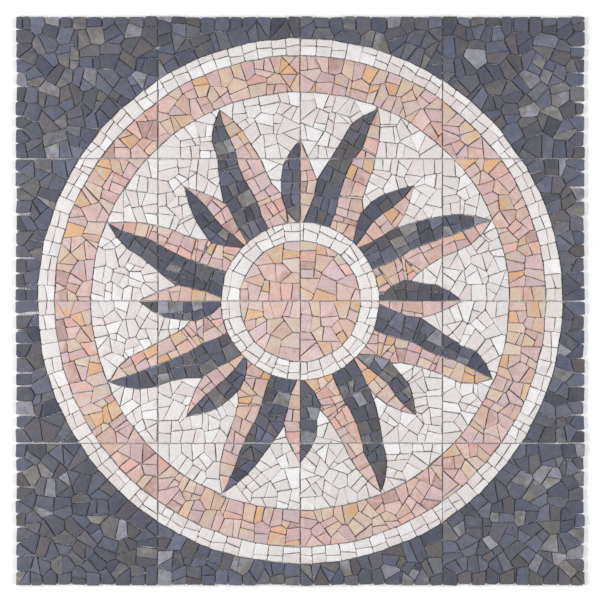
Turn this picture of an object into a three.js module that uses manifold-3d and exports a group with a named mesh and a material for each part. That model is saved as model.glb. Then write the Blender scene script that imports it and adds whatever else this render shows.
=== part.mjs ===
// Sun medallion in natural stone: broken and tumbled marble pieces, set by hand on sixteen
// mesh-backed sheets that are laid edge to edge in a square.
// Millimetres, +Z up. The panel lies with its face up, the origin is at the middle of its
// underside, twelve o'clock is +Y and three o'clock is +X.
import * as THREE from "three";
import { mergeVertices } from "three/addons/utils/BufferGeometryUtils.js";
import Module from "manifold-3d";

// Sheets
const SHEET_SIDE = 300; // one sheet, from seam to seam
const SHEETS_PER_SIDE = 4;
const MESH_THICKNESS = 1; // glass-fibre mesh with its adhesive
const MESH_SETBACK = 4; // the mesh ends this far inside its sheet's edge
const SEAM_WIDTH = 2.4; // open line between the stones of two sheets
const SEAM_DEPTH = 6.5; // below it the stones of both sheets touch

// Stones
const STONE_THICKNESS = 8;
const JOINT = 1.6; // gap between two colour areas
const UNEVEN = 0.3; // how unevenly the stones share out an edge, as a share of one stone
const RING_STONE = 30; // length of a stone along a ring's edge
const RING_WAVER = 1.3; // how far a ring's edge strays from its circle
const RAY_STONE = 29; // length of a stone along a ray's edge
const EDGE_STONE = 30; // length of a stone along the panel's edge
const EDGE_WAVER = 2.6; // how far an edge stone may stand back
const EDGE_NOTCH = 3; // worn corner of a stone at the panel's edge

// Rings, from the panel's edge inwards
const GROUND_MARGIN = 46; // least width of the charcoal ground
const OUTER_RING_WIDTH = 36;
const ROSE_BAND_WIDTH = 77;
const INNER_RING_WIDTH = 39;
const DISC_RADIUS = 128;

// Rays
const LONG_RAYS = 8; // and as many short ones between them
const TIP_CLEARANCE = 5; // cream stone between a long ray's tip and the rose band
const SHORT_REACH = 0.646; // a short ray's length, as a share of a long one's
const HAND_CUT = 0.04; // how far a ray's edge strays, as a share of the pitch

// A ray is hand drawn. "at" runs from the inner ring to the tip as a share of the ray's own
// length. The other rows are angles off the ray's axis as shares of the pitch between two
// rays, minus to the left when one looks outwards. Long rays pass under the short ones near
// the ring, where a short ray is drawn whole and the long one stops at it.
const LONG_RAY = {
  at: [0, 0.12, 0.24, 0.34, 0.52, 0.68, 0.85, 1],
  left: [-1.04, -0.84, -0.75, -0.66, -0.44, -0.33, -0.21, 0],
  middle: [-0.05, -0.04, -0.05, -0.07, -0.06, -0.03, 0, 0],
  right: [0.98, 0.74, 0.56, 0.36, 0.28, 0.24, 0.15, 0],
};
const SHORT_RAY = {
  at: [0, 0.15, 0.32, 0.5, 0.74, 1],
  left: [-0.11, -0.36, -0.47, -0.38, -0.25, 0],
  middle: [0, -0.03, -0.07, -0.04, 0.03, 0],
  right: [0.1, 0.2, 0.3, 0.32, 0.19, 0],
};

const CHARCOAL = { color: 0x66676f, roughness: 0.75, metalness: 0 };
const CREAM = { color: 0xe2dcdb, roughness: 0.6, metalness: 0 };
const ROSE = { color: 0xcbb3ab, roughness: 0.65, metalness: 0 };
const MESH = { color: 0xecebf0, roughness: 0.9, metalness: 0 };

// Sizes that follow
const PANEL_SIDE = SHEET_SIDE * SHEETS_PER_SIDE;
const STONE_BOTTOM = MESH_THICKNESS;
const STONE_TOP = STONE_BOTTOM + STONE_THICKNESS;
const OUTER_RING_RADIUS = PANEL_SIDE / 2 - GROUND_MARGIN;
const ROSE_BAND_RADIUS = OUTER_RING_RADIUS - OUTER_RING_WIDTH;
const RAY_FIELD_RADIUS = ROSE_BAND_RADIUS - ROSE_BAND_WIDTH;
const INNER_RING_RADIUS = DISC_RADIUS + INNER_RING_WIDTH;
const LONG_RAY_LENGTH = RAY_FIELD_RADIUS - TIP_CLEARANCE - INNER_RING_RADIUS;
const RAY_PITCH = Math.PI / LONG_RAYS;
const PAST = SHEET_SIDE; // how far a cutting shape runs past what it cuts
const FLAT = 1e-6; // square millimetres, below which three points count as one line

const wasm = await Module();
wasm.setup();

// Repeatable random numbers from 0 to 1, so that every build sets the same stones
function seeded(seed) {
  let state = seed;
  return () => {
    state = (state * 1664525 + 1013904223) % 4294967296;
    return state / 4294967296;
  };
}

// Angles run clockwise from twelve o'clock, as the rays are counted
const polar = (radius, angle) => [radius * Math.sin(angle), radius * Math.cos(angle)];

// An outline's corners, anticlockwise, without the points that lie in line with both neighbours
function corners(points) {
  const line = points.map(([x, y]) => new THREE.Vector2(x, y));
  const bends = line.filter((point, i) => {
    const before = line[(i + line.length - 1) % line.length];
    const after = line[(i + 1) % line.length];
    const twice = point.clone().sub(before).cross(after.clone().sub(point));
    return Math.abs(twice) > FLAT;
  });
  return THREE.ShapeUtils.isClockWise(bends) ? bends.reverse() : bends;
}

function extruded(outline, holes = [], bottom = STONE_BOTTOM, top = STONE_TOP) {
  const shape = new THREE.Shape(corners(outline));
  holes.forEach((hole) => shape.holes.push(new THREE.Path(corners(hole))));
  const geometry = new THREE.ExtrudeGeometry(shape, { depth: top - bottom, bevelEnabled: false });
  return geometry.translate(0, 0, bottom);
}

function solidOf(geometry) {
  geometry.deleteAttribute("normal");
  geometry.deleteAttribute("uv");
  const merged = mergeVertices(geometry);
  return new wasm.Manifold(
    new wasm.Mesh({
      numProp: 3,
      vertProperties: new Float32Array(merged.attributes.position.array),
      triVerts: new Uint32Array(merged.index.array),
    }),
  );
}

function geometryOf(solid) {
  const { vertProperties, triVerts } = solid.getMesh();
  const geometry = new THREE.BufferGeometry();
  geometry.setAttribute("position", new THREE.BufferAttribute(vertProperties, 3));
  geometry.setIndex(new THREE.BufferAttribute(triVerts, 1));
  return geometry;
}

// A cutting shape runs past the stones above and below
const cutter = (outline) => solidOf(extruded(outline, [], STONE_BOTTOM - PAST, STONE_TOP + PAST));
const without = (solid, cutters) => cutters.reduce((rest, cut) => rest.subtract(cut), solid);

// A ring's edge is a circle of straight stone edges, each corner a little off the circle
function ringEdge(radius, seed) {
  const random = seeded(seed);
  const count = Math.round((2 * Math.PI * radius) / RING_STONE);
  return Array.from({ length: count }, (_, i) => ({
    radius: radius + RING_WAVER * (2 * random() - 1),
    angle: (2 * Math.PI * (i + UNEVEN * random())) / count,
  }));
}

const outerEdge = ringEdge(OUTER_RING_RADIUS, 11);
const bandEdge = ringEdge(ROSE_BAND_RADIUS, 12);
const fieldEdge = ringEdge(RAY_FIELD_RADIUS, 13);
const innerEdge = ringEdge(INNER_RING_RADIUS, 14);
const discEdge = ringEdge(DISC_RADIUS, 15);

// The stones stop half a joint to either side of a ring's edge
const inside = (edge) => edge.map(({ radius, angle }) => polar(radius - JOINT / 2, angle));
const outside = (edge) => edge.map(({ radius, angle }) => polar(radius + JOINT / 2, angle));

// The panel's edge, as a row of stones with worn corners. The stones beside a corner or a
// seam stand out in full, the others up to EDGE_WAVER behind them.
function panelEdge(seed) {
  const random = seeded(seed);
  const perSheet = Math.round(SHEET_SIDE / EDGE_STONE);
  const stone = SHEET_SIDE / perSheet;
  const half = PANEL_SIDE / 2;
  const points = [];
  for (let side = 0; side < 4; side += 1) {
    const turn = (along, back) => {
      const [x, y] = [along - half, back - half];
      return [[x, y], [-y, x], [-x, -y], [y, -x]][side];
    };
    const count = perSheet * SHEETS_PER_SIDE;
    const setbacks = Array.from({ length: count }, (_, i) =>
      i % perSheet === 0 || i % perSheet === perSheet - 1 ? 0 : EDGE_WAVER * random(),
    );
    points.push(turn(EDGE_NOTCH, 0));
    for (let i = 1; i < count; i += 1) {
      const atSeam = i % perSheet === 0;
      const joint = stone * (i + (atSeam ? 0 : UNEVEN * (random() - 0.5)));
      const depth = Math.max(setbacks[i - 1], setbacks[i]) + EDGE_NOTCH;
      points.push(turn(joint - EDGE_NOTCH, setbacks[i - 1]));
      points.push(turn(joint, depth));
      points.push(turn(joint + EDGE_NOTCH, setbacks[i]));
    }
    points.push(turn(PANEL_SIDE - EDGE_NOTCH, 0));
  }
  return points;
}

// Open lines between the sheets, cut down into the stones that cross them
const seams = [];
for (let i = 1; i < SHEETS_PER_SIDE; i += 1) {
  const at = i * SHEET_SIDE - PANEL_SIDE / 2;
  const floor = STONE_TOP - SEAM_DEPTH;
  const size = [SEAM_WIDTH, PANEL_SIDE + PAST, PAST];
  const upright = new THREE.BoxGeometry(...size).translate(at, 0, floor + PAST / 2);
  const level = new THREE.BoxGeometry(size[1], size[0], size[2]).translate(0, at, floor + PAST / 2);
  seams.push({ direction: "y", at, cut: solidOf(upright) });
  seams.push({ direction: "x", at, cut: solidOf(level) });
}
const seamCuts = seams.map((seam) => seam.cut);

// Moves a line of points sideways, to the right of its run when the distance is positive
function shifted(points, distance) {
  const normals = points.slice(1).map(([x, y], i) => {
    const [dx, dy] = [x - points[i][0], y - points[i][1]];
    const length = Math.hypot(dx, dy);
    return [dy / length, -dx / length];
  });
  return points.map(([x, y], i) => {
    const a = normals[Math.max(i - 1, 0)];
    const b = normals[Math.min(i, normals.length - 1)];
    const share = distance / (1 + a[0] * b[0] + a[1] * b[1]);
    return [x + share * (a[0] + b[0]), y + share * (a[1] + b[1])];
  });
}

// One ray: its two edges and the line between its halves, from the ring out to the tip. The
// root is carried on inside the ring, where the ring's own edge cuts it off.
function ray(form, length, axis, seed, straight) {
  const random = seeded(seed);
  const strays = (i) => (i === 0 ? 0 : HAND_CUT * (2 * random() - 1));
  const lean = straight ? 0 : strays(1);
  const stones = Math.round(length / RAY_STONE);
  const line = (row, middle) => {
    const stations = form.at.map((at, i) => {
      const tip = i === form.at.length - 1;
      const own = tip ? lean : row[i] + lean * at + strays(i);
      const share = middle && straight ? 0 : own;
      return new THREE.Vector2(...polar(INNER_RING_RADIUS + length * at, axis + share * RAY_PITCH));
    });
    const run = new THREE.SplineCurve(stations).getSpacedPoints(stones).map(({ x, y }) => [x, y]);
    const root = run[0].map((value) => value * (1 - INNER_RING_WIDTH / INNER_RING_RADIUS / 2));
    return [root, ...run];
  };
  const [left, middle, right] = [line(form.left), line(form.middle, true), line(form.right)];
  return { left, middle, right, axis, straight };
}

// The ray's outline, grown by a joint on every side where it cuts what lies around it
function rayOutline({ left, right }, grown) {
  const leftLine = shifted(left, -grown);
  const rightLine = shifted(right, grown);
  const tip = leftLine.length - 1;
  const middle = [(leftLine[tip][0] + rightLine[tip][0]) / 2, (leftLine[tip][1] + rightLine[tip][1]) / 2];
  const reach = Math.hypot(...middle);
  const end = middle.map((value) => value * (1 + grown / reach));
  return [...leftLine.slice(0, tip), end, ...rightLine.slice(0, tip).reverse()];
}

// Everything on one side of a ray's middle line, right 1 or left -1, and half the gap there
function besideMiddle({ middle, axis }, side, gap) {
  const line = shifted(middle, (-side * gap) / 2);
  const along = polar(PAST, axis);
  const across = polar(side * PAST, axis + Math.PI / 2);
  const first = line[0];
  const last = line[line.length - 1];
  const far = [last[0] + along[0], last[1] + along[1]];
  const near = [first[0] - along[0], first[1] - along[1]];
  return cutter([
    near,
    ...line,
    far,
    [far[0] + across[0], far[1] + across[1]],
    [near[0] + across[0], near[1] + across[1]],
  ]);
}

const group = new THREE.Group();

function addPiece(name, finish, geometry) {
  const mesh = new THREE.Mesh(geometry, new THREE.MeshStandardMaterial(finish));
  mesh.name = name;
  group.add(mesh);
}

// Mesh backing, one square under each sheet: rows a to d from the top, 1 to 4 from the left
for (let row = 0; row < SHEETS_PER_SIDE; row += 1) {
  for (let column = 0; column < SHEETS_PER_SIDE; column += 1) {
    const side = SHEET_SIDE - 2 * MESH_SETBACK;
    const x = (column + 0.5) * SHEET_SIDE - PANEL_SIDE / 2;
    const y = PANEL_SIDE / 2 - (row + 0.5) * SHEET_SIDE;
    const backing = new THREE.BoxGeometry(side, side, MESH_THICKNESS);
    backing.translate(x, y, MESH_THICKNESS / 2);
    addPiece(`mesh_sheet_${"abcdefgh"[row]}${column + 1}`, MESH, backing);
  }
}

// Rings and ground
const ringArea = (outer, holes) => without(solidOf(extruded(outer, holes)), seamCuts);
const ground = ringArea(panelEdge(16), [outside(outerEdge)]);
addPiece("charcoal_ground", CHARCOAL, geometryOf(ground));
addPiece("outer_ring", CREAM, geometryOf(ringArea(inside(outerEdge), [outside(bandEdge)])));
addPiece("rose_band", ROSE, geometryOf(ringArea(inside(bandEdge), [outside(fieldEdge)])));
addPiece("inner_ring", CREAM, geometryOf(ringArea(inside(innerEdge), [outside(discEdge)])));
addPiece("centre_disc", ROSE, geometryOf(ringArea(inside(discEdge), [])));

// Rays. A short ray at twelve, three, six or nine o'clock has a seam between its halves.
const innerCut = cutter(outside(innerEdge));
const middleSeam = seams.some((seam) => seam.at === 0);
const rays = { long: [], short: [] };
for (let i = 0; i < LONG_RAYS; i += 1) {
  const shortAxis = 2 * i * RAY_PITCH;
  const onSeam = middleSeam && i % (LONG_RAYS / 4) === 0;
  rays.short.push(ray(SHORT_RAY, LONG_RAY_LENGTH * SHORT_REACH, shortAxis, 40 + i, onSeam));
  rays.long.push(ray(LONG_RAY, LONG_RAY_LENGTH, shortAxis + RAY_PITCH, 60 + i, false));
}
const shortCuts = rays.short.map((one) => cutter(rayOutline(one, JOINT)));
const longCuts = rays.long.map((one) => cutter(rayOutline(one, JOINT)));

for (const kind of ["short", "long"]) {
  rays[kind].forEach((one, i) => {
    const direction = Math.abs(Math.sin(one.axis)) < Math.abs(Math.cos(one.axis)) ? "y" : "x";
    const between = (seam) => one.straight && seam.at === 0 && seam.direction === direction;
    const cuts = seams.filter((seam) => !between(seam)).map((seam) => seam.cut);
    const neighbours = kind === "long" ? [shortCuts[i], shortCuts[(i + 1) % LONG_RAYS]] : [];
    const whole = without(solidOf(extruded(rayOutline(one, 0))), [innerCut, ...neighbours]);
    const gap = one.straight ? SEAM_WIDTH : JOINT;
    const charcoal = without(whole, [besideMiddle(one, 1, gap), ...cuts]);
    const rose = without(whole, [besideMiddle(one, -1, gap), ...cuts]);
    addPiece(`${kind}_ray_${i + 1}_charcoal`, CHARCOAL, geometryOf(charcoal));
    addPiece(`${kind}_ray_${i + 1}_rose`, ROSE, geometryOf(rose));
  });
}

// Cream stones between the rays
const field = solidOf(extruded(inside(fieldEdge), [outside(innerEdge)]));
const creamField = without(field, [...shortCuts, ...longCuts, ...seamCuts]);
addPiece("cream_field", CREAM, geometryOf(creamField));

export default group;
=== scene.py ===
import bpy
import numpy as np
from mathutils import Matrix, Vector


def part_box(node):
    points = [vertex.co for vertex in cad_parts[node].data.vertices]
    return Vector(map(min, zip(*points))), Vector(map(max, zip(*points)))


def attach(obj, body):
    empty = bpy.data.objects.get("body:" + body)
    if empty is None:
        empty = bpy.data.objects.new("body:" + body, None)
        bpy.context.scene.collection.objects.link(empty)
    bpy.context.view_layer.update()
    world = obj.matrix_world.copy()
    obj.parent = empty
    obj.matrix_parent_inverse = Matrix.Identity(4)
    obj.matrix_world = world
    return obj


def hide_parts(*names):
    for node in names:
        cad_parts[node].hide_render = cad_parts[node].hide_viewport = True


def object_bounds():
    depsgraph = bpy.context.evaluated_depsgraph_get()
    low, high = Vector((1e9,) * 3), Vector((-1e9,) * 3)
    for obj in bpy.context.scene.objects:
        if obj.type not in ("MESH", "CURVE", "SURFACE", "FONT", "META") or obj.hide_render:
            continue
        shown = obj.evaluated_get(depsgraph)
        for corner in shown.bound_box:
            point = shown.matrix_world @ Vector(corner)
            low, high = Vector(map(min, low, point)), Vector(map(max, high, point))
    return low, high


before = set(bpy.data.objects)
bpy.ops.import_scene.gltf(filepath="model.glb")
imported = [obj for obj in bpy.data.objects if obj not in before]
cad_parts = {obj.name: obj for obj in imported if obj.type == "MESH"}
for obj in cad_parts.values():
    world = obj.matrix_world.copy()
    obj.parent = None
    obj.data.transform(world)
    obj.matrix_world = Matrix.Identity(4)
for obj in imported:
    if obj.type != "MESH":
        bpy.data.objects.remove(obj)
cad_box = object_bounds()

# Glass-fibre nets
# The back of each 300 mm sheet is an open net of glass-fibre yarn, stiffened with adhesive. The
# weft lies on the warp, and the stones are glued to it. It shows in the joints and from below.
MM = 0.001
NET_PITCH = 5.0
NET_SEED = 3
YARN_WIDTH = 1.1
YARN_THICKNESS = 0.5
YARN_WAVER = 0.35
YARN_STATIONS = 7
YARN_SIDES = 6
# The net's colours are greyed below the white of the yarn: painted shade for the joints' depths, darkest
# in the hollows between the clots.
NET_SHADED_COLOUR = "#d6d1dc"
NET_SHADE = "#aaa4b4"
NET_ROUGHNESS = 0.55
CLOT_SIZE = 4.0
FIBRE_SIZE = 0.4
FIBRE_RELIEF = 0.1


def linear(hex_colour):
    """An sRGB hex colour as the linear red, green, blue and alpha of a shader socket."""
    value = np.array([int(hex_colour[i : i + 2], 16) for i in (1, 3, 5)]) / 255
    value = np.where(value <= 0.04045, value / 12.92, ((value + 0.055) / 1.055) ** 2.4)
    return (*value.tolist(), 1.0)


def add_node(tree, kind, settings=None, **inputs):
    """Adds a shader node, sets its own settings, and sets or links its inputs. An input's name has
    _ for a space, and in1 is input number 1."""
    node = tree.nodes.new("ShaderNode" + kind)
    for name, value in (settings or {}).items():
        setattr(node, name, value)
    for name, value in inputs.items():
        socket = node.inputs[int(name[2:]) if name[2:].isdigit() else name.replace("_", " ")]
        if isinstance(value, bpy.types.NodeSocket):
            tree.links.new(value, socket)
        else:
            socket.default_value = value
    return node


def new_material(name):
    """An empty node material, and its tree with a principled shader already on the output."""
    material = bpy.data.materials.new(name)
    material.use_nodes = True
    tree = material.node_tree
    return material, tree, tree.nodes["Principled BSDF"]


def make_piece(name, points, faces, material, nodes):
    """Makes one piece from points in millimetres and a list of face arrays, each of which is as
    wide as its faces have corners. The piece rides on the panel and stands for the CAD nodes."""
    mesh = bpy.data.meshes.new(name)
    corners = np.concatenate([some.ravel() for some in faces])
    widths = np.concatenate([np.full(len(some), some.shape[1]) for some in faces])
    mesh.vertices.add(len(points))
    mesh.vertices.foreach_set("co", (points * MM).astype(np.float32).ravel())
    mesh.loops.add(len(corners))
    mesh.loops.foreach_set("vertex_index", corners.astype(np.int32))
    mesh.polygons.add(len(widths))
    mesh.polygons.foreach_set("loop_start", (np.cumsum(widths) - widths).astype(np.int32))
    mesh.polygons.foreach_set("use_smooth", np.ones(len(widths), bool))
    mesh.update(calc_edges=True)
    mesh.materials.append(material)
    piece = bpy.data.objects.new(name, mesh)
    bpy.context.scene.collection.objects.link(piece)
    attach(piece, "root")
    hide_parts(*nodes)
    return piece


def yarns(starts, ends, sideways, random):
    """Tubes with a flat six-sided section, each carried along a line that wavers sideways:
    point = start + t * (end - start) + waver(t) * sideways + width * cos(a) * sideways / 2
    + thickness * sin(a) * up / 2, with t from 0 to 1 and a once round. Both ends are closed."""
    t = np.linspace(0, 1, YARN_STATIONS)[None, :, None, None]
    a = (np.arange(YARN_SIDES) * 2 * np.pi / YARN_SIDES)[None, None, :, None]
    waver = YARN_WAVER * random.uniform(-1, 1, (len(starts), YARN_STATIONS, 1, 1))
    line = starts[:, None, None] + t * (ends - starts)[:, None, None]
    across = waver + YARN_WIDTH / 2 * np.cos(a)
    up = np.array([0.0, 0.0, 1.0])
    points = line + across * sideways + YARN_THICKNESS / 2 * np.sin(a) * up
    ids = np.arange(points[..., 0].size).reshape(points.shape[:3])
    after = np.roll(ids, -1, axis=2)
    walls = np.stack([ids[:, :-1], after[:, :-1], after[:, 1:], ids[:, 1:]], -1).reshape(-1, 4)
    caps = np.concatenate([ids[:, 0, ::-1], ids[:, -1]])
    return points.reshape(-1, 3), walls, caps


def net(node, random):
    """The warp, yarns along Y, and on it the weft, yarns along X, evenly over the node's box. A
    yarn's way crossed with its sideways points up, which makes its faces point outwards."""
    low, high = (np.array(corner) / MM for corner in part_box(node))
    count = int((high[0] - low[0]) / NET_PITCH)
    inset = ((high[0] - low[0]) - (count - 1) * NET_PITCH) / 2
    steps = inset + NET_PITCH * np.arange(count)
    zeros = np.zeros(count)
    points, walls, caps, used = [], [], [], 0
    for along, height in ((1, YARN_THICKNESS / 2), (0, YARN_THICKNESS * 3 / 2)):
        across = 1 - along
        starts = np.stack([zeros, zeros, zeros + low[2] + height], 1)
        starts[:, across] = low[across] + steps
        ends = starts.copy()
        starts[:, along], ends[:, along] = low[along], high[along]
        sideways = np.eye(3)[across] * (-1 if along else 1)
        some = yarns(starts, ends, sideways, random)
        points.append(some[0])
        walls.append(some[1] + used)
        caps.append(some[2] + used)
        used += len(some[0])
    return np.concatenate(points), [np.concatenate(walls), np.concatenate(caps)]


def coated_glass_fibre():
    """Glass-fibre yarn in a coat of milky adhesive: a pale lilac grey, darker than the white yarn as a
    painted shade for the depths of the joints, that darkens further between the clots of adhesive as a
    painted shade in the hollows, a soft satin gloss, and fine fibres in relief."""
    material, tree, shader = new_material("glass_fibre_net_in_adhesive")
    where = add_node(tree, "TexCoord").outputs["Object"]
    clots = add_node(tree, "TexNoise", Vector=where, Scale=1 / (CLOT_SIZE * MM), Detail=3.0)
    fibres = add_node(tree, "TexNoise", Vector=where, Scale=1 / (FIBRE_SIZE * MM)).outputs[0]
    # Painted shade: the net is coloured greyer than its white yarn, and darker still between the clots
    # of adhesive.
    colour = add_node(tree, "ValToRGB", Fac=clots.outputs[0])
    hollow, raised = colour.color_ramp.elements
    hollow.position, hollow.color = 0.35, linear(NET_SHADE)
    raised.position, raised.color = 0.6, linear(NET_SHADED_COLOUR)
    tree.links.new(colour.outputs[0], shader.inputs["Base Color"])
    bump = add_node(tree, "Bump", Height=fibres, Strength=0.5, Distance=FIBRE_RELIEF * MM)
    tree.links.new(bump.outputs[0], shader.inputs["Normal"])
    shader.inputs["Roughness"].default_value = NET_ROUGHNESS
    return material


net_random = np.random.default_rng(NET_SEED)
net_material = coated_glass_fibre()
for sheet in sorted(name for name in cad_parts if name.startswith("mesh_sheet_")):
    net_points, net_faces = net(sheet, net_random)
    net_name = sheet.replace("mesh_sheet", "net")
    make_piece(net_name, net_points, net_faces, net_material, [sheet])

# Charcoal ground
# Split charcoal limestone, broken by hand and tumbled, fills the square's corners. It lies in no
# order, but with a straight course along the panel's edge. Each stone is glued to the net.
CHARCOAL_STONE = 29.0
EDGE_COURSE = 27.0
CHARCOAL_WIDENING = 1.7
CHARCOAL_TONES = [
    (0.00, "#535662"),
    (0.12, "#606272"),
    (0.26, "#454859"),
    (0.38, "#625f5b"),
    (0.50, "#6b6d7f"),
    (0.62, "#53596b"),
    (0.74, "#635b5c"),
    (0.84, "#57596b"),
    (0.93, "#7d7972"),
    (0.98, "#92929e"),
]
LEVEL_WITHIN = 0.05


def stone_area(node):
    """Reads the top face of a CAD stone area, in millimetres: its triangles, the island that each
    lies in, the outline as directed segments with the stone on their left, their islands, and the
    face's height. An island is what one sheet holds of the area."""
    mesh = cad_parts[node].data
    mesh.calc_loop_triangles()
    places = np.empty(len(mesh.vertices) * 3, np.float32)
    mesh.vertices.foreach_get("co", places)
    corners = np.empty(len(mesh.loop_triangles) * 3, np.int32)
    mesh.loop_triangles.foreach_get("vertices", corners)
    places = np.round(places.reshape(-1, 3).astype(float) / MM, 2)
    corners = corners.reshape(-1, 3)
    top = places[:, 2].max()
    corners = corners[(places[corners, 2] > top - LEVEL_WITHIN).all(1)]
    flat, numbers = np.unique(places[corners, :2].reshape(-1, 2), axis=0, return_inverse=True)
    corners = numbers.reshape(-1, 3)
    ways = np.concatenate([corners[:, [0, 1]], corners[:, [1, 2]], corners[:, [2, 0]]])
    codes = ways[:, 0] * len(flat) + ways[:, 1]
    back = ways[:, 1] * len(flat) + ways[:, 0]
    outline = ways[~np.isin(codes, back)]
    label = np.arange(len(flat))
    settled = False
    while not settled:
        before = label.copy()
        least = np.minimum(label[ways[:, 0]], label[ways[:, 1]])
        np.minimum.at(label, ways[:, 0], least)
        np.minimum.at(label, ways[:, 1], least)
        label = label[label]
        settled = (label == before).all()
    return flat[corners], label[corners[:, 0]], flat[outline], label[outline[:, 0]], top


SAMPLES_ACROSS = 7
LEAST_SAMPLES = 12


def scattered(triangles, stone, random):
    """Even random points, about seven across a stone: equal steps along the running area pick the
    triangle, and two random shares folded into its half of the square give the place."""
    a, b, c = triangles[:, 0], triangles[:, 1], triangles[:, 2]
    areas = np.abs((b - a)[:, 0] * (c - a)[:, 1] - (b - a)[:, 1] * (c - a)[:, 0]) / 2
    count = max(LEAST_SAMPLES, int(areas.sum() / (stone / SAMPLES_ACROSS) ** 2))
    along = (np.arange(count) + random.random(count)) / count * areas.sum()
    pick = np.minimum(np.searchsorted(np.cumsum(areas), along), len(areas) - 1)
    u, v = random.random((2, count, 1))
    u, v = np.where(u + v > 1, 1 - u, u), np.where(u + v > 1, 1 - v, v)
    return a[pick] + u * (b - a)[pick] + v * (c - a)[pick]


def nearest(places, marks):
    """Which of the marks is the nearest to each place: the least squared distance."""
    return ((places[:, None] - marks) ** 2).sum(-1).argmin(1)


def owned(samples, owner, count):
    """How many samples each of count owners has, and the mean of their places."""
    share = np.bincount(owner, minlength=count)
    sums = [np.bincount(owner, samples[:, k], minlength=count) for k in (0, 1)]
    return share, np.stack(sums, 1) / np.maximum(share, 1)[:, None]


SETTLING_ROUNDS = 5


def settled_seeds(samples, count, random):
    """Spreads seeds over the samples: in each round a seed moves to the sample nearest the middle
    of those that are nearer to it than to any other seed."""
    seeds = samples[random.choice(len(samples), count, replace=False)]
    for _ in range(SETTLING_ROUNDS):
        _, middle = owned(samples, nearest(samples, seeds), count)
        seeds = samples[nearest(middle, samples)]
    return np.unique(seeds, axis=0)


STEP_STRAY = 0.3


def strung_seeds(samples, axis, spacing, random):
    """Seeds down the middle of a band: its length is cut into uneven steps, and the mean of the
    samples in a step is a seed."""
    along = samples @ axis
    count = max(1, round((along.max() - along.min()) / spacing))
    ends = np.linspace(along.min(), along.max(), count + 1)[1:-1]
    ends = ends + spacing * random.uniform(-STEP_STRAY, STEP_STRAY, count - 1)
    share, seeds = owned(samples, np.searchsorted(ends, along), count)
    return seeds[share > 0]


def segment_lengths(outline):
    """The length of each outline segment."""
    return np.linalg.norm(outline[:, 1] - outline[:, 0], axis=1)


SHORTEST_RING_STEP = 13.0
CLEAR_OF_MIDDLE = 8.0


def ring_seeds(outline, samples):
    """One seed to each segment of a ring's inner side, at the middle of the ring's width, so that
    the joints between the stones meet the corners of the disc or ring inside."""
    middle = np.linalg.norm(samples, axis=1).mean()
    places = outline.mean(1)
    radius = np.linalg.norm(places, axis=1)
    long = segment_lengths(outline) > SHORTEST_RING_STEP
    inner = long & (radius < middle - CLEAR_OF_MIDDLE)
    return places[inner] / radius[inner, None] * middle


def bends(outline):
    """The direction of each outline segment and of the one that it runs into, and the sine of the
    turn between them, which is above 0 at an inner corner."""
    ways = outline[:, 1] - outline[:, 0]
    ways = ways / np.linalg.norm(ways, axis=1)[:, None]
    onwards = ways[np.abs(outline[:, None, 1] - outline[None, :, 0]).sum(-1).argmin(1)]
    return ways, onwards, ways[:, 1] * onwards[:, 0] - ways[:, 0] * onwards[:, 1]


SHORTEST_STEP = 8.0
NEARLY_ALONG = 0.6
FEWEST_OWNED = 10


def flame_seeds(outline, samples, axis):
    """One seed to each segment on the hollower side of a flame, in the middle of the stone that
    belongs to it, so that the joints meet the side's corners; none if the side is too short."""
    ways, _, bend = bends(outline)
    long = segment_lengths(outline) > SHORTEST_STEP
    sides = [long & (sign * (ways @ axis) > NEARLY_ALONG) for sign in (1, -1)]
    side = max(sides, key=lambda some: bend[some].clip(0).sum())
    middle = outline[side].mean(1)
    if len(middle) < 2:
        return middle[:0]
    share, seeds = owned(samples, nearest(samples, middle), len(middle))
    return seeds[share > FEWEST_OWNED]


EDGE_OVERLAP = 6.0


def edge_seeds(outline, seeds, limit):
    """The seeds, but in the course along the panel's edge one to each segment of the outline."""
    places = outline.mean(1)
    long = segment_lengths(outline) > SHORTEST_STEP
    course = places[long & (np.abs(places).max(1) > limit + EDGE_COURSE / 2)]
    course = np.clip(course, -limit - EDGE_COURSE / 2, limit + EDGE_COURSE / 2)
    inside = seeds[np.abs(seeds).max(1) < limit + EDGE_OVERLAP]
    return np.concatenate([inside, np.unique(np.round(course, 1), axis=0)])


def clipped(polygons, counts, normals, offsets):
    """Cuts each convex polygon by its own line, all at once, and keeps what has normal . point <=
    offset: a corner inside stays, and a side that crosses the line gives the crossing point. The
    polygons are rows of as many corners, of which the first counts are real."""
    slots = np.arange(polygons.shape[1])
    real = slots < counts[:, None]
    after = np.where(slots + 1 < counts[:, None], slots + 1, 0)
    height = (polygons * normals[:, None]).sum(-1) - offsets[:, None]
    inside = real & (height <= 0)
    crosses = real & (inside != np.take_along_axis(inside, after, 1))
    drop = height - np.take_along_axis(height, after, 1)
    share = height / np.where(crosses, drop, 1)
    side = np.take_along_axis(polygons, after[..., None], 1) - polygons
    both = np.stack([polygons, polygons + share[..., None] * side], 2)
    room = polygons.shape[1]
    keep = np.stack([inside, crosses], 2).reshape(-1, 2 * room)
    order = np.argsort(~keep, axis=1, kind="stable")[:, :room]
    kept = np.take_along_axis(both.reshape(-1, 2 * room, 2), order[..., None], 1)
    return kept, np.minimum(keep.sum(1), room)


def closed_up(polygons, counts):
    """Fills a polygon's unused slots with its first corner, so that sums over sides hold."""
    real = np.arange(polygons.shape[1]) < counts[:, None]
    return np.where(real[..., None], polygons, polygons[:, :1])


def polygon_area(polygons, counts):
    """Half the sum of the cross products of each corner with the next."""
    p = closed_up(polygons, counts)
    q = np.roll(p, -1, axis=1)
    return (p[..., 0] * q[..., 1] - p[..., 1] * q[..., 0]).sum(1) / 2


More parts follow.
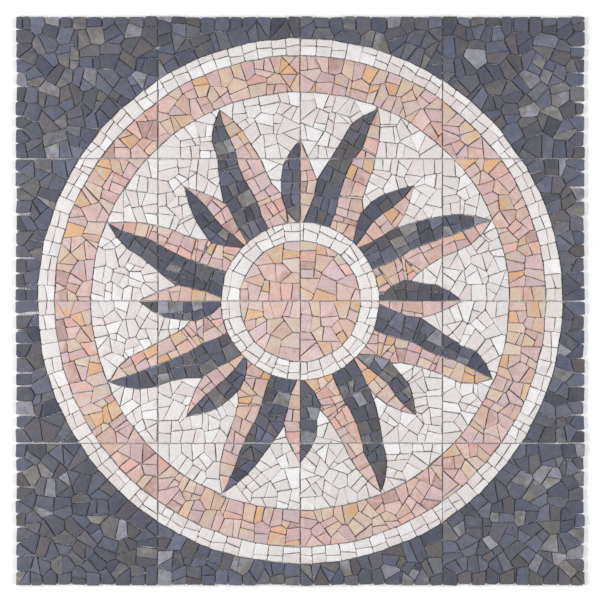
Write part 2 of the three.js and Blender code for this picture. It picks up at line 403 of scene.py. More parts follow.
def middles(polygons, counts):
    """The mean of each polygon's corners."""
    real = (np.arange(polygons.shape[1]) < counts[:, None])[..., None]
    return np.where(real, polygons, 0).sum(1) / np.maximum(counts, 1)[:, None]


JOINT = 1.15
NEIGHBOURS = 18
MOST_CORNERS = 16


def cells(seeds, outline):
    """One convex cell round each seed: the box of the island's outline, with a joint or two to
    spare, cut by the lines halfway to the nearest seeds."""
    low, high = outline.min((0, 1)) - 2 * JOINT, outline.max((0, 1)) + 2 * JOINT
    polygons = np.zeros((len(seeds), MOST_CORNERS, 2))
    polygons[:, :4] = [low, (high[0], low[1]), high, (low[0], high[1])]
    counts = np.full(len(seeds), 4)
    apart = ((seeds[:, None] - seeds) ** 2).sum(-1)
    for other in np.argsort(apart, axis=1)[:, 1 : NEIGHBOURS + 1].T:
        normals = seeds[other] - seeds
        offsets = (normals * (seeds[other] + seeds)).sum(1) / 2
        polygons, counts = clipped(polygons, counts, normals, offsets)
    return polygons, counts


OUT_OF_REACH = 1e6


def halves(polygons, counts, normals, offsets, cut):
    """Cuts the chosen polygons in two, each by its own line, and keeps both parts."""
    far = np.where(cut, offsets, OUT_OF_REACH)
    first = clipped(polygons, counts, normals, far)
    second = clipped(polygons[cut], counts[cut], -normals[cut], -offsets[cut])
    return np.concatenate([first[0], second[0]]), np.concatenate([first[1], second[1]])


MOST_DEPTH = 400.0
TINY = 1e-6


def depths(polygons, counts, points):
    """How deep each point lies in each polygon: the least distance to a side, inwards."""
    p = closed_up(polygons, counts)
    side = np.roll(p, -1, axis=1) - p
    length = np.linalg.norm(side, axis=-1)
    least = np.full((len(p), len(points)), MOST_DEPTH)
    for k in range(p.shape[1]):
        to = points - p[:, k, None]
        depth = side[:, k, None, 0] * to[..., 1] - side[:, k, None, 1] * to[..., 0]
        depth = depth / np.maximum(length[:, k, None], TINY)
        least = np.where(length[:, k, None] > TINY, np.minimum(least, depth), least)
    return np.where(counts[:, None] > 2, least, -MOST_DEPTH)


SLIGHT_BEND = 0.04
MOST_LOSS = 1.0


def parted(polygons, counts, outline):
    """Cuts the cells at the outline's inner corners, which a straight-sided stone can't follow. The
    cut runs from the corner along its bisector. It is made where the corner's depth in the cell,
    and the cell's reach on both sides of the cut, times the sine of the turn are over a millimetre,
    which is about what the stone would lose without it. A turn right back counts as a sine of 1."""
    ways, onwards, bend = bends(outline)
    back = (ways * onwards).sum(1) < 0
    inner = bend > SLIGHT_BEND
    corners, bend = outline[inner, 1], np.where(back, 1, bend)[inner]
    bisectors = (ways - onwards)[inner]
    across = np.stack([-bisectors[:, 1], bisectors[:, 0]], 1)
    across = across / np.linalg.norm(across, axis=1)[:, None]
    tried = np.zeros((len(polygons), len(corners)), bool)
    due = np.array([inner.any()])
    while due.any():
        loss = np.where(tried, 0, depths(polygons, counts, corners) * bend)
        worst = loss.argmax(1)
        due = loss.max(1) > MOST_LOSS
        tried[np.arange(len(polygons)), worst] |= due
        normals = across[worst]
        offsets = (normals * corners[worst]).sum(1)
        height = (closed_up(polygons, counts) * normals[:, None]).sum(-1) - offsets[:, None]
        shorter = np.minimum(height.max(1), -height.min(1))
        cut = due & (shorter * bend[worst] > MOST_LOSS)
        polygons, counts = halves(polygons, counts, normals, offsets, cut)
        tried = np.concatenate([tried, tried[cut]])
    return polygons, counts


def within(places, outline):
    """Which places the outline encloses: a line to the right crosses it an odd number of times."""
    x, y = places.T[..., None]
    ways = outline[:, 1] - outline[:, 0]
    level = (outline[:, 0, 1] > y) != (outline[:, 1, 1] > y)
    rise = np.where(ways[:, 1] == 0, 1, ways[:, 1])
    right = outline[:, 0, 0] + (y - outline[:, 0, 1]) / rise * ways[:, 0] > x
    return (level & right).sum(1) % 2 == 1


SEAM_LIMIT = 400.0
SEAM_CLOSING = 0.6
SEAM_STRAY = 0.9
STRAIGHT_WITHIN = 0.01
PROBES = 7
PROBE_INSET = 0.04
LEAST_CUT = 0.1


def walled(polygons, counts, outline, random):
    """Cuts each cell along the outline segments that pass through it, the deepest first, and keeps
    the parts that lie inside. A mere notch cuts nothing that is stone on both sides of its line.
    The cut lies half a joint outside the outline, as the stones' sides are moved in later. Along
    the seams between sheets the stones reach out a little more, and some stray back."""
    ways = outline[:, 1] - outline[:, 0]
    lengths = segment_lengths(outline)
    outwards = np.stack([ways[:, 1], -ways[:, 0]], 1) / lengths[:, None]
    seam = ((np.abs(ways) < STRAIGHT_WITHIN) & (np.abs(outline[:, 0]) < SEAM_LIMIT)).any(1)
    reach = JOINT / 2 + SEAM_CLOSING * seam
    stray = SEAM_STRAY * seam
    along = np.linspace(PROBE_INSET, 1 - PROBE_INSET, PROBES)[:, None]
    probes = (outline[:, None, 0] + along * ways[:, None]).reshape(-1, 2)
    done = np.zeros((len(polygons), len(outline)), bool)
    due = np.array([True])
    while due.any():
        depth = depths(polygons, counts, probes).reshape(len(polygons), len(outline), -1).max(-1)
        depth = np.where(done, 0, depth - reach)
        wall = depth.argmax(1)
        due = depth.max(1) > LEAST_CUT
        done[np.arange(len(polygons)), wall] = True
        normals = outwards[wall]
        offsets = (normals * outline[wall, 0]).sum(1) + reach[wall]
        offsets = offsets - stray[wall] * random.random(len(wall))
        rest = clipped(polygons, counts, -normals, -offsets)
        cut = due & ((lengths[wall] > SHORTEST_STEP) | ~within(middles(*rest), outline))
        polygons, counts = halves(polygons, counts, normals, offsets, cut)
        done = np.concatenate([done, done[cut]])
    stone = (counts > 2) & within(middles(polygons, counts), outline)
    return polygons[stone], counts[stone]


def turned(ways, angles):
    """The ways turned by the angles: x * cos - y * sin and x * sin + y * cos."""
    c, s = np.cos(angles), np.sin(angles)
    return np.stack([ways[:, 0] * c - ways[:, 1] * s, ways[:, 0] * s + ways[:, 1] * c], 1)


def extent(polygons, counts, ways):
    """How far each polygon reaches along its way: the range of corner . way."""
    height = (closed_up(polygons, counts) * ways[:, None]).sum(-1)
    return height.max(1) - height.min(1)


BREAKS = 3
BREAK_ANGLES = np.arange(12) * np.pi / 12
STONE_SIZES = (0.85, 1.2)
LARGE_AREA, LONG_AREA, LONG_SHAPE = 1.6, 0.8, 2.1
WIDE_COURSE, LONG_COURSE = 1.3, 1.7
SLANT, COURSE_SLANT = 0.22, 0.12
OFF_CENTRE = 0.1


def broken(polygons, counts, stone, random, courses):
    """Breaks each polygon that is too large or too long in two near its middle, and repeats that.
    In courses it is first split along them where it is wide, and then across. Elsewhere the
    break runs roughly across its longer way, which is square to its narrowest."""
    for _ in range(BREAKS):
        middle = middles(polygons, counts)
        size = random.uniform(*STONE_SIZES, len(polygons)) * stone
        if courses is None:
            ways = [np.array([[np.cos(angle), np.sin(angle)]]) for angle in BREAK_ANGLES]
            spans = np.stack([extent(polygons, counts, way) for way in ways], 1)
            narrow = BREAK_ANGLES[spans.argmin(1)]
            normals = np.stack([-np.sin(narrow), np.cos(narrow)], 1)
            areas = polygon_area(polygons, counts)
            length, width = extent(polygons, counts, normals), spans.min(1)
            long = (length > LONG_SHAPE * width) & (areas > LONG_AREA * size**2)
            cut = long | (areas > LARGE_AREA * size**2)
            normals = turned(normals, random.normal(0, SLANT, len(normals)))
        else:
            along = courses(middle)
            across = turned(along, np.pi / 2)
            length, width = extent(polygons, counts, along), extent(polygons, counts, across)
            wide = width > WIDE_COURSE * size
            cut = wide | (length > LONG_COURSE * size)
            normals = np.where(wide[:, None], across, along)
            length = np.where(wide, width, length)
            normals = turned(normals, random.normal(0, COURSE_SLANT, len(normals)))
        away = length * random.uniform(-OFF_CENTRE, OFF_CENTRE, len(length))
        offsets = (normals * middle).sum(1) + away
        polygons, counts = halves(polygons, counts, normals, offsets, cut)
    return polygons, counts


TIGHTEST = 0.06
MOST_TAPER = 0.12


def jointed(polygons, counts, widening, random):
    """Moves every side in by half a joint, and more at one end than at the other. The square of a
    random share leaves many stones nearly touching and a few far apart."""
    p = closed_up(polygons, counts)
    ends = np.roll(p, -1, axis=1)
    sides = ends - p
    lengths = np.linalg.norm(sides, axis=-1)
    for k in range(polygons.shape[1]):
        real = lengths[:, k] > TINY
        inwards = np.stack([-sides[:, k, 1], sides[:, k, 0]], 1)
        inwards = inwards / np.maximum(lengths[:, k], TINY)[:, None]
        gaps = TIGHTEST + widening * random.uniform(0, 1, (2, len(p), 1)) ** 2
        taper = MOST_TAPER * lengths[:, k, None]
        gaps[1] = np.clip(gaps[1], gaps[0] - taper, gaps[0] + taper)
        start, end = p[:, k] + gaps[0] * inwards, ends[:, k] + gaps[1] * inwards
        way = end - start
        normals = np.stack([way[:, 1], -way[:, 0]], 1)
        normals = normals / np.maximum(np.linalg.norm(normals, axis=1), TINY)[:, None]
        offsets = np.where(real, (normals * start).sum(1), OUT_OF_REACH)
        polygons, counts = clipped(polygons, counts, normals, offsets)
    return polygons, counts


SHORTEST_SIDE = 1.8
LEAST_AREA = 0.035
LEAST_WIDTH = 1.8


def without_stubs(polygons, counts):
    """Drops a corner that lies closer than the shortest side to the one before it."""
    p = closed_up(polygons, counts)
    real = np.arange(polygons.shape[1]) < counts[:, None]
    last = np.take_along_axis(p, (counts - 1)[:, None, None], 1)
    before = np.concatenate([last, p[:, :-1]], 1)
    keep = real & (np.linalg.norm(p - before, axis=-1) > SHORTEST_SIDE)
    order = np.argsort(~keep, axis=1, kind="stable")
    return np.take_along_axis(polygons, order[..., None], 1), keep.sum(1)


def stone_sized(polygons, counts, stone):
    """Keeps what isn't too small for a stone or, by its area over its length, too thin. The length
    is twice the farthest corner's distance from the middle."""
    areas = polygon_area(polygons, np.maximum(counts, 1))
    from_middle = closed_up(polygons, counts) - middles(polygons, counts)[:, None]
    lengths = 2 * np.linalg.norm(from_middle, axis=-1).max(1)
    large = (counts > 2) & (areas > LEAST_AREA * stone**2) & (areas > LEAST_WIDTH * lengths)
    return polygons[large], counts[large]


CORNER_WEAR = 3.2
WEAR_RANGE = (0.25, 1)
MOST_WORN = 0.28
BOW, MOST_BOW = 0.03, 0.8
BOW_RANGE = (-0.35, 1)
BOW_PLACES = (0.35, 0.65)
EDGE_ROUND = 1.1
ROUND_RANGE = (0.5, 1.1)
KNOCKED_SHARE, KNOCKED_DEPTH = 0.1, 1.9
FACE_TILT = 0.012
FACE_DROP = (0.1, 0.9)
FACE_ROUGHNESS = 0.07
PEAK_HEIGHT, PEAK_ROUGHNESS = 0.02, 0.08
FACE_RING = 0.55
SMALLEST_RING = 0.6
PATTERN_SHIFT = 1000.0
STONE_NUMBERS = ("rim", "side", "tone", "shade")
# The rings' insets and depths, in edge roundings, and whether the ring is rough. The first lies on
# the net, the next three round the edge, and the last lies well inside the face.
RINGS = ((0.5, None, 0), (0, 1.0, 0), (0.35, 0.35, 0), (1.1, 0, 0), (None, 0, 1))


def stone_solids(corners, bottom, top, random):
    """Closed stones from convex outlines with the same number of corners. Each corner becomes two points
    where wear has cut it, and each side gets a point near its middle that strays. Rings of the outline,
    drawn in towards the middle and up, make the split side, the edge rounded by tumbling and the
    slightly uneven face, which is tilted a little: point = middle + share * (outline - middle). Each
    point's numbers are 1 on the rounded rim, which the material paints paler as wear and painted
    highlight, 1 at the foot of the side, which it paints darker as a painted shade for the joints, and
    the stone's own tone, shade and shift of the pattern along X, Y and Z in millimetres."""
    count, sides = corners.shape[:2]
    ahead = np.roll(corners, -1, axis=1) - corners
    behind = np.roll(corners, 1, axis=1) - corners
    run = np.linalg.norm(ahead, axis=-1)[..., None]
    back = np.linalg.norm(behind, axis=-1)[..., None]
    wear = CORNER_WEAR * random.uniform(*WEAR_RANGE, (count, sides, 1)) ** 2
    enter = corners + behind / back * np.minimum(wear, MOST_WORN * back)
    leave = corners + ahead / run * np.minimum(wear, MOST_WORN * run)
    inwards = np.stack([-ahead[..., 1], ahead[..., 0]], -1) / run
    stray = np.minimum(BOW * run, MOST_BOW) * random.uniform(*BOW_RANGE, (count, sides, 1))
    between = corners + ahead * random.uniform(*BOW_PLACES, (count, sides, 1)) + inwards * stray
    outline = np.stack([enter, leave, between], 2).reshape(count, -1, 2)
    ring = outline.shape[1]
    middle = outline.mean(1, keepdims=True)
    reach = np.linalg.norm(outline - middle, axis=-1).mean(1)[:, None]
    chip = EDGE_ROUND * random.uniform(*ROUND_RANGE, (count, ring))
    knocked = random.random((count, ring)) < KNOCKED_SHARE
    chip = np.where(knocked, chip * KNOCKED_DEPTH, chip)
    slope = random.normal(0, FACE_TILT, (count, 1, 2))
    lift = (slope * (outline - middle)).sum(-1)
    face = top - random.uniform(*FACE_DROP, (count, 1)) - np.abs(lift).max(1, keepdims=True)
    rings = []
    for inset, depth, rough in RINGS:
        if inset is None:
            share = np.full((count, ring), FACE_RING)
        else:
            share = np.maximum(1 - inset * chip / reach, SMALLEST_RING)
        flat = middle + share[..., None] * (outline - middle)
        if depth is None:
            height = np.full((count, ring), bottom)
        else:
            height = face + share * lift - depth * chip
            height = height + rough * random.normal(0, FACE_ROUGHNESS, (count, ring))
        rings.append(np.concatenate([flat, height[..., None]], -1))
    rise = random.normal(PEAK_HEIGHT, PEAK_ROUGHNESS, (count, 1))
    peak = np.concatenate([middle, (face + rise)[..., None]], -1)
    points = np.concatenate([*rings, peak], 1)
    ids = np.arange(count * points.shape[1]).reshape(count, -1)
    levels = ids[:, :-1].reshape(count, len(rings), ring)
    after = np.roll(levels, -1, axis=2)
    walls = np.stack([levels[:, :-1], after[:, :-1], after[:, 1:], levels[:, 1:]], -1)
    crowns = np.stack([levels[:, -1], after[:, -1], np.repeat(ids[:, -1:], ring, 1)], -1)
    faces = [walls.reshape(-1, 4), crowns.reshape(-1, 3), levels[:, 0, ::-1]]
    numbers = np.zeros((*ids.shape, len(STONE_NUMBERS) + 3))
    numbers[:, ring : 3 * ring, 0] = 1
    numbers[:, :ring, 1] = 1
    numbers[..., 2:] = random.random((count, 1, 5))
    numbers[..., 4:] *= PATTERN_SHIFT
    return points.reshape(-1, 3), faces, numbers.reshape(-1, numbers.shape[-1])


def round_the_middle(places):
    """The way round the panel's middle at each place."""
    return np.stack([-places[:, 1], places[:, 0]], 1) / np.linalg.norm(places, axis=1)[:, None]


STONES_IN_A_CELL = 2.4
STRUNG_STONES = 1.5


def laid_out(triangles, outline, stone, pattern, edge, random):
    """The stones of one island, as convex outlines that touch: seeds for pieces of a few stones
    each, their cells, which are cut along the outline, and the breaks between single stones. In a
    ring or a flame the seeds follow its middle, and the breaks follow its courses."""
    samples = scattered(triangles, stone, random)
    courses = None
    if pattern == "scattered":
        amount = max(1, round(len(samples) / SAMPLES_ACROSS**2 / STONES_IN_A_CELL))
        seeds = settled_seeds(samples, min(amount, len(samples)), random)
        seeds = edge_seeds(outline, seeds, edge) if edge else seeds
    elif pattern == "ring":
        courses = round_the_middle
        seeds = ring_seeds(outline, samples)
    else:
        spread = samples - samples.mean(0)
        axis = np.linalg.eigh(spread.T @ spread)[1][:, 1]
        seeds = flame_seeds(outline, samples, axis)
        if len(seeds) < 2:
            seeds = strung_seeds(samples, axis, STRUNG_STONES * stone, random)

        def courses(places):
            return np.full(places.shape, axis)

    polygons, counts = cells(seeds, outline)
    polygons, counts = parted(polygons, counts, outline)
    polygons, counts = walled(polygons, counts, outline, random)
    return broken(polygons, counts, stone, random, courses)


SHARP_EDGE = 38


def lay_stones(name, node, stone, widening, material, slot, *, seed, pattern="scattered", edge=None):
    """Fills a CAD stone area with stones, island by island: their outlines, the joints between
    them, and then the solids, those with as many corners together."""
    random = np.random.default_rng(seed)
    triangles, islands, outline, sides, top = stone_area(node)
    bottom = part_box(node)[0].z / MM
    layouts = []
    for island in np.unique(islands):
        inside, walls = triangles[islands == island], outline[sides == island]
        layouts.append(laid_out(inside, walls, stone, pattern, edge, random))
    polygons, counts = (np.concatenate(some) for some in zip(*layouts))
    polygons, counts = jointed(polygons, counts, widening, random)
    polygons, counts = without_stubs(polygons, counts)
    polygons, counts = stone_sized(polygons, counts, stone)
    solids, used = [], 0
    for corners in np.unique(counts):
        alike = polygons[counts == corners, :corners]
        points, faces, numbers = stone_solids(alike, bottom, top, random)
        solids.append((points, [some + used for some in faces], numbers))
        used += len(points)
    points, faces, numbers = zip(*solids)
    walls, crowns, bases = zip(*faces)
    every_face = [*walls, *crowns, *bases]
    piece = make_piece(name, np.concatenate(points), every_face, material, [node])
    piece.data.set_sharp_from_angle(angle=np.radians(SHARP_EDGE))
    numbers = np.concatenate(numbers).astype(np.float32)
    for key, value in zip(STONE_NUMBERS, numbers.T.copy()):
        piece.data.attributes.new(key, "FLOAT", "POINT").data.foreach_set("value", value)
    shift = piece.data.attributes.new("shift", "FLOAT_VECTOR", "POINT")
    shift.data.foreach_set("vector", (numbers[:, len(STONE_NUMBERS) :] * MM).ravel())


# The values that a noise texture mostly keeps to.
NOISE_RANGE = {"in1": 0.3, "in2": 0.7}
BAND_SIZE = 30.0
CLOUD_SIZE, CLOUD_STRENGTH = 12.0, 0.45
VEIN_SPACING, VEIN_WIDTH = 22.0, 0.022
LEDGE_SIZE, LEDGE_RELIEF = 14.0, 1.4
PIT_SIZE, PIT_RELIEF = 2.2, 0.35
SPECKLE = 0.1
GLOSS_SPREAD = 0.08
# How far the foot of each side is painted towards the joint colour: a painted shade for the deep joints.
JOINT_SHADE_SHARE = 0.8
STONE_IOR = 1.5
STONE_SPECULAR = 0.35


def tumbled_stone(name, tones, *, variety, banding, mottle, vein, veining, grain, roughness, wear, joint_shade_colour):
    """Tumbled natural stone. Each stone takes one tone of the quarry's range, drifts a little to the
    next in soft bands, and has its own shade. Clouds and veins run through it, and its grains are
    specks, drawn about twice as coarse as the real ones so that they show. Tumbling leaves a matt skin
    with shallow pits on split ledges, and a rounded edge that is painted a little paler, partly as real
    wear and partly as a painted highlight. The foot of the side is painted darker towards the joint
    colour, a painted shade for the deep joints between the stones."""
    material, tree, shader = new_material(name)
    own = {
        key: add_node(tree, "Attribute", {"attribute_name": key}).outputs["Fac"] for key in STONE_NUMBERS
    }
    shift = add_node(tree, "Attribute", {"attribute_name": "shift"}).outputs["Vector"]
    place = add_node(tree, "TexCoord").outputs["Object"]
    where = add_node(tree, "VectorMath", {"operation": "ADD"}, in0=place, in1=shift).outputs[0]
    bands = add_node(
        tree, "TexNoise", Vector=where, Scale=1 / (BAND_SIZE * MM), Detail=3.0, Distortion=0.8
    ).outputs[0]
    drift = add_node(tree, "MapRange", in0=bands, in3=-banding, in4=banding, **NOISE_RANGE).outputs[0]
    tone = add_node(
        tree, "Math", {"operation": "ADD", "use_clamp": True}, in0=own["tone"], in1=drift
    ).outputs[0]
    palette = add_node(tree, "ValToRGB", Fac=tone)
    ramp = palette.color_ramp
    for number, (start, colour) in enumerate(tones):
        stop = ramp.elements[number] if number < 2 else ramp.elements.new(start)
        stop.position, stop.color = start, linear(colour)
    clouds = add_node(
        tree,
        "TexNoise",
        Vector=where,
        Scale=1 / (CLOUD_SIZE * MM),
        Detail=5.0,
        Roughness=0.6,
        Distortion=0.6,
    ).outputs[0]
    cloudy = add_node(
        tree, "MapRange", in0=clouds, in1=0.35, in2=0.7, in3=0.0, in4=CLOUD_STRENGTH
    ).outputs[0]
    colour = add_node(
        tree, "MixRGB", Fac=cloudy, Color1=palette.outputs[0], Color2=linear(mottle)
    ).outputs[0]
    threads = add_node(
        tree, "TexNoise", Vector=where, Scale=1 / (VEIN_SPACING * MM), Detail=3.0, Distortion=1.4
    ).outputs[0]
    centred = add_node(tree, "Math", {"operation": "SUBTRACT"}, in0=threads, in1=0.5).outputs[0]
    off = add_node(tree, "Math", {"operation": "ABSOLUTE"}, in0=centred).outputs[0]
    veined = add_node(
        tree, "MapRange", in0=off, in1=0.0, in2=VEIN_WIDTH, in3=veining, in4=0.0
    ).outputs[0]
    colour = add_node(tree, "MixRGB", Fac=veined, Color1=colour, Color2=linear(vein)).outputs[0]
    specks = add_node(tree, "TexNoise", Vector=where, Scale=1 / (grain * MM), Detail=2.0).outputs[0]
    speckled = add_node(
        tree, "MapRange", in0=specks, in3=-SPECKLE, in4=SPECKLE, **NOISE_RANGE
    ).outputs[0]
    shade = add_node(
        tree, "MapRange", in0=own["shade"], in1=0.0, in2=1.0, in3=1 - variety, in4=1 + variety
    ).outputs[0]
    light = add_node(tree, "Math", {"operation": "ADD"}, in0=shade, in1=speckled).outputs[0]
    # The rounded rim is painted paler by the wear amount: partly real wear of the tumbled edge and
    # partly a painted highlight.
    wear_and_highlight = add_node(
        tree, "Math", {"operation": "MULTIPLY_ADD"}, in0=own["rim"], in1=wear, in2=light
    ).outputs[0]
    colour = add_node(tree, "HueSaturation", Color=colour, Value=wear_and_highlight).outputs[0]
    # Painted shade: the foot of each side is coloured darker towards the joint colour, so that the
    # joints between the stones look deep and dark.
    painted_joint_shade = add_node(
        tree, "MapRange", in0=own["side"], in1=0.0, in2=0.5, in3=0.0, in4=JOINT_SHADE_SHARE
    ).outputs[0]
    colour = add_node(tree, "MixRGB", Fac=painted_joint_shade, Color1=colour, Color2=linear(joint_shade_colour)).outputs[0]
    tree.links.new(colour, shader.inputs["Base Color"])
    least, most = roughness - GLOSS_SPREAD, roughness + GLOSS_SPREAD
    matt = add_node(tree, "MapRange", in0=specks, in3=least, in4=most, **NOISE_RANGE).outputs[0]
    tree.links.new(matt, shader.inputs["Roughness"])
    ledges = add_node(
        tree, "TexNoise", Vector=where, Scale=1 / (LEDGE_SIZE * MM), Detail=2.0, Distortion=1.2
    ).outputs[0]
    cleft = add_node(tree, "Bump", Height=ledges, Strength=0.7, Distance=LEDGE_RELIEF * MM).outputs[0]
    pits = add_node(
        tree, "TexNoise", Vector=where, Scale=1 / (PIT_SIZE * MM), Detail=4.0, Roughness=0.65
    ).outputs[0]
    pitted = add_node(
        tree, "Bump", Height=pits, Strength=0.7, Distance=PIT_RELIEF * MM, Normal=cleft
    ).outputs[0]
    tree.links.new(pitted, shader.inputs["Normal"])
    shader.inputs["IOR"].default_value = STONE_IOR
    shader.inputs["Specular IOR Level"].default_value = STONE_SPECULAR
    return material


# Slate-like limestone: dark blue and brown greys, the most matt of the stones, hardly veined.
charcoal_limestone = tumbled_stone(
    "tumbled_charcoal_limestone",
    CHARCOAL_TONES,
    variety=0.21,
    banding=0.05,
    mottle="#45464f",
    vein="#8a8a92",
    veining=0.12,
    grain=2.4,
    roughness=0.72,
    wear=0.08,
    joint_shade_colour="#4f4a4a",
)
edge_line = cad_box[1].x / MM - EDGE_COURSE
lay_stones(
    "stones_ground",
    "charcoal_ground",
    CHARCOAL_STONE,
    CHARCOAL_WIDENING,
    charcoal_limestone,
    "charcoal_stone",
    seed=21,
    edge=edge_line,
)

# Outer cream ring
# One or two courses of cream marble between the ground and the rose band. The stones come from
# thin off-white strips, broken to length by eye, with some pinkish and a few pure white ones.
OUTER_STONE = 26.5
CREAM_WIDENING = 1.25
CREAM_TONES = [
    (0.00, "#d8d5d4"),
    (0.22, "#dfdcdb"),
    (0.45, "#d1cccb"),
    (0.60, "#dbd4d2"),
    (0.76, "#d3c9c6"),
    (0.86, "#e3e2e2"),
    (0.96, "#e6e5e6"),
]
# Cream marble: nearly one off-white, with faint greyish clouds, and a warm grey painted shade at the
# foot of the sides, in the joints.
cream_marble = tumbled_stone(
    "tumbled_cream_marble",
    CREAM_TONES,
    variety=0.03,
    banding=0.08,
    mottle="#d0c9c7",
    vein="#c6bcb8",
    veining=0.22,
    grain=2.6,
    roughness=0.6,
    wear=0.02,
    joint_shade_colour="#a39b97",
)
lay_stones(
    "stones_outer_ring",
    "outer_ring",
    OUTER_STONE,
    CREAM_WIDENING,
    cream_marble,
    "cream_stone",
    seed=31,
    pattern="ring",
)

# Rose band
# Rose marble, about three stones wide and in no order. It runs from pink and mauve to tan and
# ochre within one quarry block, and each broken piece shows its own part of that range.
ROSE_STONE = 26.0
ROSE_WIDENING = 1.55
ROSE_TONES = [
    (0.00, "#ac8b82"),
    (0.10, "#d0b3ae"),
    (0.20, "#bfa5a6"),
    (0.30, "#d4bbb3"),
    (0.40, "#c8a496"),
    (0.50, "#ccb7a0"),
    (0.60, "#cfc0b6"),
    (0.70, "#d6a294"),
    (0.80, "#c2b0b9"),
    (0.88, "#c9b69c"),
    (0.95, "#d3a67a"),
]
# Rose marble: warm and varied, with darker rose clouds and soft pale veins.
rose_marble = tumbled_stone(
    "tumbled_rose_marble",
    ROSE_TONES,
    variety=0.08,
    banding=0.08,
    mottle="#b99d98",
    vein="#dccbc6",
    veining=0.25,
    grain=2.6,
    roughness=0.62,
    wear=0.04,
    joint_shade_colour="#6c605e",
)
lay_stones(
    "stones_rose_band", "rose_band", ROSE_STONE, ROSE_WIDENING, rose_marble, "rose_stone", seed=41
)

# Cream field
# The same cream marble fills the space between the rays, in no order, its stones cut to fit
# against the rays as they were set.
FIELD_STONE = 25.0
lay_stones(
    "stones_field", "cream_field", FIELD_STONE, CREAM_WIDENING, cream_marble, "cream_stone", seed=51
)

# Rays
# Eight long and eight short flames. Each has a charcoal half on its left and a rose half on its
# right, seen from the middle, one or two stones wide and set in courses that follow the flame.
RAY_STONE = 29.0
FIRST_RAY_SEED = 100
ray_kinds = {
    "charcoal": (CHARCOAL_WIDENING, charcoal_limestone, "charcoal_stone"),
    "rose": (ROSE_WIDENING, rose_marble, "rose_stone"),
}
ray_nodes = sorted(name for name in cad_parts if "_ray_" in name)
for number, ray in enumerate(ray_nodes):
    ray_kind = ray_kinds[ray.rsplit("_", 1)[1]]
    ray_seed = FIRST_RAY_SEED + number
    lay_stones("stones_" + ray, ray, RAY_STONE, *ray_kind, seed=ray_seed, pattern="flame")

# Inner cream ring
# One or two courses of cream marble around the disc, the stones broken square and set close. They
# are picked from the whitest of the block.
RING_STONE = 24.0
# White marble: the cream marble's tones, with white clouds in place of greyish ones.
white_marble = tumbled_stone(
    "tumbled_white_marble",
    CREAM_TONES,
    variety=0.03,
    banding=0.06,
    mottle="#e6e3e1",
    vein="#d2cac6",
    veining=0.15,
    grain=2.6,
    roughness=0.6,
    wear=0.03,
    joint_shade_colour="#a39b97",
)
lay_stones(
    "stones_inner_ring",
    "inner_ring",
    RING_STONE,
    CREAM_WIDENING,
    white_marble,
    "cream_stone",
    seed=61,
    pattern="ring",
)

# Centre disc
# Rose stones, a little larger and paler than the band's, set in no order inside a round outline.
# They are broken, tumbled and glued like the others.
DISC_STONE = 28.0
# Pale rose marble: the rose marble's tones under paler clouds.
pale_rose_marble = tumbled_stone(
    "tumbled_pale_rose_marble",
    ROSE_TONES,
    variety=0.08,
    banding=0.08,
    mottle="#d3c0bf",
    vein="#e0d2cd",
    veining=0.25,
    grain=2.6,
    roughness=0.62,
    wear=0.06,
    joint_shade_colour="#6c605e",
)
lay_stones(
    "stones_disc", "centre_disc", DISC_STONE, ROSE_WIDENING, pale_rose_marble, "rose_stone", seed=71
)

# Floor, light and camera
# The panel lies on a plain white floor, seen from straight above. Two long soft lights stand to the
# left and right, so that joints along X stay bright and joints along Y fall into shadow.
FLOOR_SIZE = 12.0
FLOOR_COLOUR = "#f7f7f7"
FLOOR_ROUGHNESS = 0.9
LIGHT_SIDE, LIGHT_HEIGHT = 2.6, 2.2
LIGHT_TURN = 50
LIGHT_SIZE = (0.9, 3.2)
LEFT_POWER, RIGHT_POWER = 100, 80
ROOM_LIGHT = 0.28
FRAME_PIXELS = 600
PANEL_PIXELS = 569.5
PANEL_CENTRE_PIXEL = (300.2, 301.0)
LENS = 85.0
SENSOR = 36.0

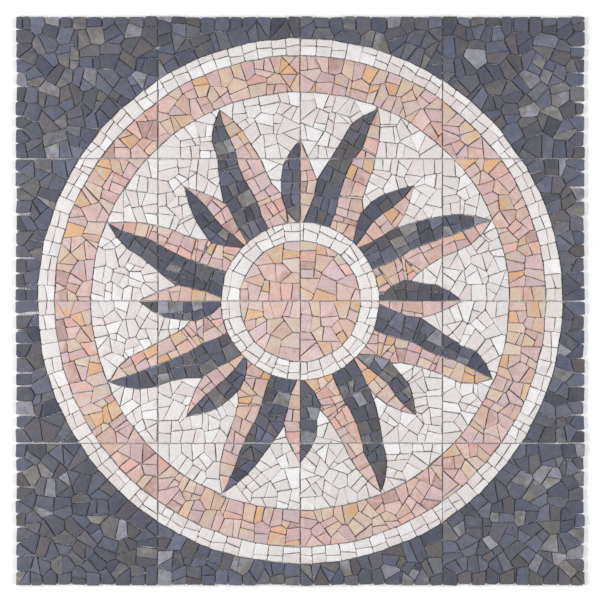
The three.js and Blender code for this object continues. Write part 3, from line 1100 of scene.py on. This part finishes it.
floor_mesh = bpy.data.meshes.new("floor")
half_floor = FLOOR_SIZE / 2
floor_corners = half_floor * np.array([[-1, -1, 0], [1, -1, 0], [1, 1, 0], [-1, 1, 0]])
floor_mesh.from_pydata(floor_corners.tolist(), [], [(0, 1, 2, 3)])
floor = bpy.data.objects.new("floor", floor_mesh)
bpy.context.scene.collection.objects.link(floor)
# Matt white paint: no gloss, and so bright that the floor is pure white in the picture.
paint, _, paint_shader = new_material("matt_white_floor_paint")
paint_shader.inputs["Base Color"].default_value = linear(FLOOR_COLOUR)
paint_shader.inputs["Roughness"].default_value = FLOOR_ROUGHNESS
floor_mesh.materials.append(paint)


def soft_light(name, side, power):
    """A long rectangular area light on that side of the panel, turned about Y to face it."""
    light = bpy.data.lights.new(name, "AREA")
    light.shape = "RECTANGLE"
    light.size, light.size_y = LIGHT_SIZE
    light.energy = power
    lamp = bpy.data.objects.new(name, light)
    lamp.location = (side * LIGHT_SIDE, 0, LIGHT_HEIGHT)
    lamp.rotation_euler = (0, np.radians(side * LIGHT_TURN), 0)
    bpy.context.scene.collection.objects.link(lamp)


soft_light("left_light", -1, LEFT_POWER)
soft_light("right_light", 1, RIGHT_POWER)

world = bpy.data.worlds.new("studio")
bpy.context.scene.world = world
world.use_nodes = True
background = world.node_tree.nodes["Background"]
background.inputs["Color"].default_value = (1, 1, 1, 1)
background.inputs["Strength"].default_value = ROOM_LIGHT
bpy.context.scene.view_settings.view_transform = "Standard"

low, high = cad_box
pixel = (high.x - low.x) / PANEL_PIXELS
camera_data = bpy.data.cameras.new("camera")
camera_data.lens = LENS
camera_data.sensor_width = SENSOR
camera = bpy.data.objects.new("camera", camera_data)
camera.location = (
    (FRAME_PIXELS / 2 - PANEL_CENTRE_PIXEL[0]) * pixel,
    (PANEL_CENTRE_PIXEL[1] - FRAME_PIXELS / 2) * pixel,
    high.z + FRAME_PIXELS * pixel * LENS / SENSOR,
)
bpy.context.scene.collection.objects.link(camera)
bpy.context.scene.camera = camera
